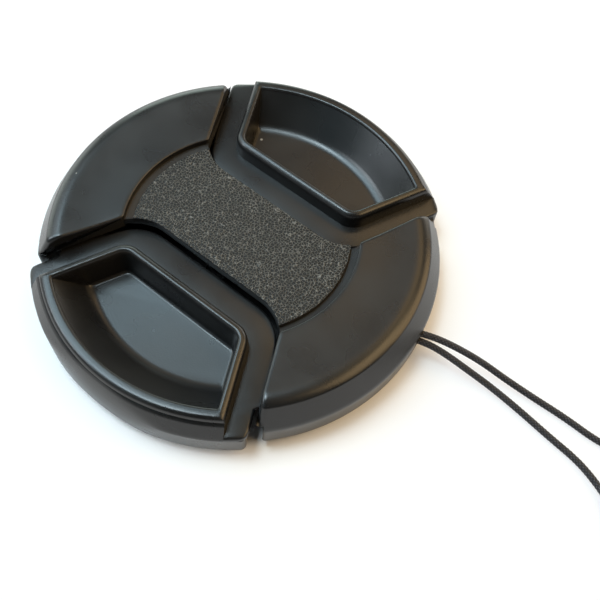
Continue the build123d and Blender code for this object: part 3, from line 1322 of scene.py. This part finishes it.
    def wall(self) -> Piece:
        """The outer wall under the cup and the plate's ends.

        Returns:
            The wall.
        """
        ring_r, seat_z, edge = self.plan.ring_r, self.plan.seat_z, self.plan.foot_edge
        heights = [seat_z + edge]
        for step in range(self.wall_steps + 1):
            heights.append(self.wall_from_z + (self.plate_foot - self.wall_from_z) * step / self.wall_steps)
        steps = [self.plan_corner * share for share in self.corner_steps]
        right = [(self.wall_end(self.right_gap) - d / ring_r, d) for d in steps]
        left = [(d / ring_r - self.wall_end(self.left_gap), d) for d in reversed(steps)]
        middle = between(right[-1], left[0], self.wall_spans + 1)[1:-1]
        loops = []
        for angle, distance in right + middle + left:
            fall = rounding(distance, self.plan_corner)
            reach = [self.outer_r(angle, z) - fall for z in heights]
            outline = [(self.wall_inner_r, self.plate_foot), (self.wall_inner_r, seat_z)]
            outline += [(reach[0] - edge, seat_z), (reach[0] - self.wall_soft, seat_z + self.wall_soft)]
            outline += zip(reach, heights)
            loops.append([self.place_round(r, angle, z) for r, z in outline])
        return loft("outer_wall", loops)

    def claw(self) -> Piece:
        """The claw under the wall with its thread ridges.

        Returns:
            The claw.
        """
        inner_r, foot_z, top_z = self.wall_inner_r, self.claw_foot_z, self.claw_top_z
        outline = [(inner_r, top_z), (inner_r, foot_z), (self.claw_r - self.claw_edge, foot_z)]
        for turn in range(self.thread_turns):
            z = self.thread_from_z + turn * self.thread_pitch
            outline += [(self.claw_r + self.thread_depth * out, z + up) for out, up in self.thread_ridge]
        outline.append((self.claw_r, top_z))
        loops = []
        for step in range(2 * self.claw_half + 1):
            angle = math.radians(self.claw_half_angle * (1 - step / self.claw_half))
            loops.append([self.place_round(r, angle, z) for r, z in outline])
        return loft("thread_claw", loops)

    def guides(self) -> list[Piece]:
        """The spring's seat and the two hooked arms under the wings.

        Returns:
            The pieces.
        """
        corners = [self.seat_corners]
        for way in (-1, 1):
            for low, high in (self.arm_corners, self.hook_corners):
                corners.append(((low[0] * way, *low[1:]), (high[0] * way, *high[1:])))
        return [bevelled_block("key_guide", self.place(*one), self.place(*two)) for one, two in corners]

    def build(self) -> Piece:
        """Models the key, in place of its solid.

        Returns:
            The finished piece.
        """
        name = f"{self.side.name.lower()}_pinch_key"
        pieces = [self.cup(), self.plate(), self.wall(), self.claw()] + self.guides()
        for piece in pieces:
            piece.data.materials.append(self.plastic)
        key = joined(name + "_moulding", pieces)
        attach(key, self.side.body.value)
        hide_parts(name)
        return key


# The key springs


@dataclass
class KeySpring:
    """A coil spring between the middle rib and a key's seat."""

    side: Side
    steel: Material
    wire: float = 0.4
    turns: int = 6
    turn_steps: int = 32
    wire_sides: int = 12
    spare: float = 0.02
    sharp_angle: float = 60.0

    def wire_loops(self, mean_r: float, start: float, end: float, axis_z: float) -> list[list[Point]]:
        """Rings of points round the wire, from the rib to the seat.

        Args:
            mean_r: Radius of the wire's centre line round the spring's axis.
            start: Distance of the first ring from the cap's middle.
            end: Distance of the last one.
            axis_z: Height of the spring's axis.

        Returns:
            The rings in order along the wire.
        """
        loops = []
        count = self.turns * self.turn_steps
        climb = (end - start) / (2 * math.pi * self.turns * mean_r)
        sides = circle((0.0, 0.0), self.wire / 2, self.wire_sides)
        for step in range(count + 1):
            turn = 2 * math.pi * step / self.turn_steps
            out = Vector((math.cos(turn), 0.0, math.sin(turn)))
            run = Vector((-math.sin(turn), -climb, math.cos(turn))).normalized()
            across = run.cross(out)
            middle = out * mean_r + Vector((0.0, -start - (end - start) * step / count, axis_z))
            loops.append([tuple(middle + out * u + across * v) for u, v in sides])
        return loops

    def build(self) -> Piece:
        """Models the spring, in place of its solid.

        Returns:
            The finished piece.
        """
        key = self.side.body.value
        low, high = (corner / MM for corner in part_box(key + "_spring"))
        near, far = sorted((abs(low.y), abs(high.y)))
        axis_z = (low.z + high.z) / 2
        inset = self.wire / 2 + self.spare
        loops = self.wire_loops((high.x - low.x - self.wire) / 2, near + inset, far - inset, axis_z)
        loops = loops if self.side is Side.FRONT else half_turn(loops)
        spring = loft(key + "_spring_wire", loops, self.sharp_angle)
        spring.data.materials.append(self.steel)
        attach(spring, Body.CAP.value)
        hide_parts(key + "_spring")
        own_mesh(spring)
        return spring


# The leash


@dataclass
class Leash:
    """The thin braided loop that leaves the ring, with its unseen end coiled and tied."""

    yarn: Material
    diameter: float = 1.05
    coil_x: float = 69.6
    coil_y: float = 6.1
    coil_outer_r: float = 7.05
    coil_turns: float = 4.5
    rise_start: float = 2.0
    rise_end: float = 2.6
    low_z: float = 0.975
    high_z: float = 2.025
    steps_per_turn: int = 16
    spline_steps: int = 10
    spline_order: int = 3
    carriers: int = 6
    braid_pitch: float = 1.7
    braid_depth: float = 0.18
    top_yarn_share: float = 0.75
    sides: int = 32
    ring_step: float = 0.13
    out_points: tuple[Point, ...] = (
        (26.2, 3.85, 4.60), (27.9, 4.28, 4.75), (29.5, 5.05, 4.75), (31.92, 6.13, 4.35),
        (34.89, 7.09, 3.60), (38.62, 8.02, 2.55), (43.06, 8.44, 1.55), (47.83, 8.92, 0.85),
        (52.85, 9.29, 0.60), (57.85, 9.13, 0.57), (62.2, 9.9, 0.62), (65.9, 12.00, 0.86),
        (69.0, 13.12, 0.97),
    )
    back_points: tuple[Point, ...] = (
        (26.2, 3.25, 3.85), (27.9, 3.68, 3.95), (29.6, 4.25, 3.95), (31.76, 5.02, 3.55),
        (34.43, 5.49, 2.95), (37.75, 5.87, 2.05), (41.62, 6.23, 1.20), (46.76, 6.01, 0.70),
        (52.47, 5.30, 0.57), (57.57, 4.77, 0.60), (62.1, 2.95, 0.92), (65.9, 0.30, 1.75),
        (69.0, -0.90, 2.02),
    )

    def coil_points(self) -> list[Point]:
        """Control points of the put-away turns: in on the lower layer, up, and out on the upper one.

        Returns:
            The points in order.
        """
        points = []
        inner = self.coil_outer_r - self.diameter * self.rise_start
        for step in range(1, round(self.coil_turns * self.steps_per_turn)):
            t = step / self.steps_per_turn
            climb = min(max((t - self.rise_start) / (self.rise_end - self.rise_start), 0.0), 1.0)
            climb = climb * climb * (3 - 2 * climb)
            r = inner + self.diameter * max(self.rise_start - t, t - self.rise_end, 0.0)
            angle = math.pi / 2 - 2 * math.pi * t
            z = self.low_z + (self.high_z - self.low_z) * climb
            points.append((self.coil_x + r * math.cos(angle), self.coil_y + r * math.sin(angle), z))
        return points

    def route(self) -> list[Vector]:
        """Points read from the route's smooth spline.

        Returns:
            The points in order, in metres.
        """
        control = list(self.out_points) + self.coil_points() + list(reversed(self.back_points))
        line = bpy.data.curves.new("leash_route", "CURVE")
        line.dimensions = "3D"
        line.resolution_u = self.spline_steps
        spline = line.splines.new("NURBS")
        spline.points.add(len(control) - 1)
        for point, place in zip(spline.points, control):
            point.co = (*(Vector(place) * MM), 1.0)
        spline.order_u = self.spline_order
        spline.use_endpoint_u = True
        holder = bpy.data.objects.new("leash_route", line)
        bpy.context.scene.collection.objects.link(holder)
        bpy.context.view_layer.update()
        mesh = bpy.data.meshes.new_from_object(holder)
        points = [v.co.copy() for v in mesh.vertices]
        bpy.data.objects.remove(holder)
        bpy.data.meshes.remove(mesh)
        bpy.data.curves.remove(line)
        return points

    def evenly(self, points: Sequence[Vector], step: float) -> list[Vector]:
        """Points at an even step along a line.

        Args:
            points: Points of the line.
            step: Length of the step.

        Returns:
            The even points, from the line's start.
        """
        spots = [points[0].copy()]
        left = step
        for here, there in zip(points, points[1:]):
            run = (there - here).length
            while run >= left > 0:
                here = here.lerp(there, left / run)
                spots.append(here.copy())
                run -= left
                left = step
            left -= run
        return spots

    def braid_height(self, turn: float, along: float) -> float:
        """Height of the braid at a place on the cord.

        Args:
            turn: Share of the turn round the cord.
            along: Length along the cord.

        Returns:
            A height from 0 in a groove to 1 on a yarn.
        """
        slant = along / self.braid_pitch * self.carriers / 2
        right, left = self.carriers * turn + slant, self.carriers * turn - slant
        over = (math.floor(right) + math.floor(left)) % 2 == 0
        yarn, under = (right, left) if over else (left, right)
        crown, lower = math.sin(math.pi * (yarn % 1.0)), math.sin(math.pi * (under % 1.0))
        return self.top_yarn_share * crown + (1.0 - self.top_yarn_share) * lower

    def skin(self, spots: Sequence[Vector]) -> tuple[list[Vector], list[float]]:
        """Points of the braided skin, in rings along the cord.

        Args:
            spots: Middles of the rings.

        Returns:
            The points, and the height of each in the braid.
        """
        points: list[Vector] = []
        heights: list[float] = []
        normal = Vector((0, 0, 1))
        radius = self.diameter / 2 * MM
        for index, spot in enumerate(spots):
            run = (spots[min(index + 1, len(spots) - 1)] - spots[max(index - 1, 0)]).normalized()
            normal = (normal - run * normal.dot(run)).normalized()
            across = run.cross(normal)
            for side in range(self.sides):
                turn = side / self.sides
                angle = 2 * math.pi * turn
                height = self.braid_height(turn, index * self.ring_step)
                reach = radius * (1 - self.braid_depth * (1 - height))
                heights.append(height)
                points.append(spot + (normal * math.cos(angle) + across * math.sin(angle)) * reach)
        return points, heights

    def skin_faces(self, rings: int) -> list[tuple[int, ...]]:
        """Faces between the rings of the skin and over both ends.

        Args:
            rings: Number of rings.

        Returns:
            The faces, as numbers of their points.
        """
        count = self.sides
        faces = [tuple(reversed(range(count))), tuple(range((rings - 1) * count, rings * count))]
        for ring in range(rings - 1):
            for side in range(count):
                a, b = ring * count + side, ring * count + (side + 1) % count
                faces.append((a, b, b + count, a + count))
        return faces

    def build(self) -> Piece:
        """Returns:
            The finished cord.
        """
        path = self.route()
        spots = self.evenly(path, self.ring_step * MM)
        points, heights = self.skin(spots)
        mesh = bpy.data.meshes.new("leash")
        mesh.from_pydata(points, [], self.skin_faces(len(spots)))
        mesh.materials.append(self.yarn)
        mesh.attributes.new(BRAID_HEIGHT, "FLOAT", "POINT").data.foreach_set("value", heights)
        cord = bpy.data.objects.new("leash", mesh)
        bpy.context.scene.collection.objects.link(cord)
        select_only(cord)
        bpy.ops.object.mode_set(mode="EDIT")
        face_outwards(cord)
        bpy.ops.object.shade_smooth()
        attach(cord, Body.CAP.value)
        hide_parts("leash_strand_upper", "leash_strand_lower", "leash_coil")
        return cord


# The studio


@dataclass(frozen=True)
class PhotoCamera:
    """The camera, in the photograph's frame."""

    azimuth: float = 32.178
    elevation: float = 62.042
    roll: float = 6.607
    distance: float = 118.041
    target: Point = (11.304, 0.192, 0.2)
    focal_px: float = 769.963
    image_px: float = 600.0
    sensor_mm: float = 36.0
    near_mm: float = 5.0
    far_mm: float = 10000.0

    def build(self) -> None:
        """Makes the scene's camera."""
        az, el, roll = (math.radians(a) for a in (self.azimuth, self.elevation, self.roll))
        back = Vector((math.sin(az) * math.cos(el), -math.cos(az) * math.cos(el), math.sin(el)))
        data = bpy.data.cameras.new("photo_camera")
        data.sensor_width = self.sensor_mm
        data.lens = self.focal_px / self.image_px * self.sensor_mm
        data.clip_start, data.clip_end = self.near_mm * MM, self.far_mm * MM
        camera = bpy.data.objects.new("photo_camera", data)
        bpy.context.scene.collection.objects.link(camera)
        camera.location = (Vector(self.target) + back * self.distance) * MM
        aim = (-back).to_track_quat("-Z", "Y").to_matrix().to_4x4()
        camera.rotation_euler = (aim @ Matrix.Rotation(roll, 4, "Z")).to_euler()
        bpy.context.scene.camera = camera


@dataclass(frozen=True)
class SoftBox:
    """One soft studio lamp, placed by its azimuth from +X and its elevation."""

    name: str
    azimuth: float
    elevation: float
    watts: float
    colour: Point
    distance_mm: float = 450.0
    size_mm: Flat = (280.0, 200.0)

    def build(self) -> None:
        """Makes the lamp, aimed at the cap."""
        data = bpy.data.lights.new(self.name, "AREA")
        data.shape = "RECTANGLE"
        data.size, data.size_y = (s * MM for s in self.size_mm)
        data.energy = self.watts
        data.color = self.colour
        lamp = bpy.data.objects.new(self.name, data)
        bpy.context.scene.collection.objects.link(lamp)
        az, el = math.radians(self.azimuth), math.radians(self.elevation)
        out = Vector((math.cos(az) * math.cos(el), math.sin(az) * math.cos(el), math.sin(el)))
        lamp.location = out * self.distance_mm * MM
        lamp.rotation_euler = (-out).to_track_quat("-Z", "Y").to_euler()


@dataclass(frozen=True)
class Studio:
    """A pale table, a white surround and soft lamps."""

    table_mm: float = 1400.0
    table_colour: Point = (0.92, 0.92, 0.92)
    table_roughness: float = 0.7
    paper_mix: float = 0.7
    paper_from: float = 29.0
    paper_full: float = 36.0
    white_from: float = 110.0
    white_full: float = 320.0
    surround: float = 0.04
    room_colour: Point = (1.0, 0.97, 0.93)
    wall_angles: Flat = (6.0, 12.0)
    lamps: tuple[SoftBox, ...] = (
        SoftBox("cool_left", 188.0, 63.0, 0.95, (0.62, 0.87, 1.0)),
        SoftBox("left", 188.0, 44.0, 0.40, (0.80, 0.93, 1.0)),
        SoftBox("overhead", 205.0, 77.0, 0.70, (0.76, 0.92, 1.0), size_mm=(110.0, 110.0)),
        SoftBox("cool_front", 247.5, 38.0, 0.06, (0.63, 0.89, 1.0)),
        SoftBox("low_left", 180.0, 14.0, 0.42, (0.88, 1.0, 0.95)),
        SoftBox("low_left_back", 135.0, 14.0, 0.50, (0.82, 1.0, 0.92)),
        SoftBox("low_back", 90.0, 14.0, 0.40, (1.0, 0.93, 0.80)),
        SoftBox("amber_back", 46.0, 27.0, 0.62, (1.0, 0.68, 0.34)),
        SoftBox("amber_right", 24.0, 51.0, 0.60, (1.0, 0.70, 0.36)),
        SoftBox("amber_high", 60.0, 62.0, 0.16, (1.0, 0.70, 0.30)),
        SoftBox("warm_high", 98.0, 55.0, 0.17, (1.0, 0.66, 0.32), size_mm=(200.0, 160.0)),
        SoftBox("pale_high", 138.0, 52.0, 0.045, (1.0, 0.94, 0.88)),
        SoftBox("front_left", 218.0, 40.0, 0.60, (0.82, 0.92, 1.0), size_mm=(160.0, 160.0)),
    )

    def table(self) -> None:
        """Makes the table top, which whitens away from the cap."""
        deselect_all()
        bpy.ops.mesh.primitive_plane_add(size=self.table_mm * MM)
        floor = bpy.context.object
        floor.name = "table_top"
        book = NodeBook.finish("pale_table")
        book.fix(Base_Color=(*self.table_colour, 1.0), Roughness=self.table_roughness)
        paper = book.add("ShaderNodeEmission", Strength=1.0)
        shown = book.worked("ADD", book.ray("Camera"), book.mirrored())
        reach = book.distance((0.0, 0.0, 0.0))
        near = book.spread(reach, 0.0, self.paper_mix, self.paper_from * MM, self.paper_full * MM)
        far = book.spread(reach, 0.0, 1.0 - self.paper_mix, self.white_from * MM, self.white_full * MM)
        share = book.worked("MULTIPLY", shown, book.worked("ADD", near, far))
        book.blend(share, book.surface.outputs["BSDF"], paper.outputs["Emission"], "Material Output")
        floor.data.materials.append(book.owner)

    def world(self) -> None:
        """Makes a dim room that is white to the camera, with a white wall that shiny pieces mirror."""
        book = NodeBook(bpy.data.worlds.new("surround"))
        room = book.tree.nodes["Background"]
        room.inputs["Strength"].default_value = self.surround
        room.inputs["Color"].default_value = (*self.room_colour, 1.0)
        white = book.add("ShaderNodeBackground", Color=(1.0, 1.0, 1.0, 1.0), Strength=1.0)
        towards = book.add("ShaderNodeSeparateXYZ")
        book.link(book.tree.nodes.new("ShaderNodeTexCoord").outputs["Generated"], towards.inputs["Vector"])
        top, fade = (math.sin(math.radians(a)) for a in self.wall_angles)
        wall = book.spread(towards.outputs["Z"], 1.0, 0.0, top, fade)
        shown = book.worked("ADD", book.ray("Camera"), book.worked("MULTIPLY", book.mirrored(), wall))
        book.blend(shown, room.outputs["Background"], white.outputs["Background"], "World Output")
        bpy.context.scene.world = book.owner

    def build(self) -> None:
        """Makes the table, the surround and the lamps."""
        self.table()
        self.world()
        for lamp in self.lamps:
            lamp.build()
        bpy.context.scene.view_settings.view_transform = "Standard"


def dress_nodes(materials: dict[str, Material]) -> None:
    """Gives carried-over solids their finishes.

    Args:
        materials: Material of each node by the node's name.
    """
    for name, material in materials.items():
        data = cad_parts[name].data
        data.materials.clear()
        data.materials.append(material)


def main() -> None:
    """Builds the camera, the leash, the cap and the studio in order, and reports each piece."""
    logging.basicConfig(level=logging.INFO, format="%(name)s %(message)s")
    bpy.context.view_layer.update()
    PhotoCamera().build()
    plastic, grain = SatinPlastic().build(), PebbleGrain().build()
    yarn, steel = BraidedNylon().build(), SpringSteel().build()
    plan = CapPlan.from_frame()
    assemblies = [
        Leash(yarn),
        FrontBody(plan, plastic, grain),
        PinchKey(plan, Side.FRONT, plastic),
        PinchKey(plan, Side.REAR, plastic, left_gap=0.9, right_gap=-0.25),
        KeySpring(Side.FRONT, steel),
        KeySpring(Side.REAR, steel),
    ]
    for assembly in assemblies:
        piece = assembly.build()
        LOG.info("%s: %d faces", piece.name, len(piece.data.polygons))
    dress_nodes({"back_plate": plastic, "leash_tie": plastic, "leash_knot": yarn})
    Studio().build()
    LOG.info("size written")


if __name__ == "__main__":
    main()
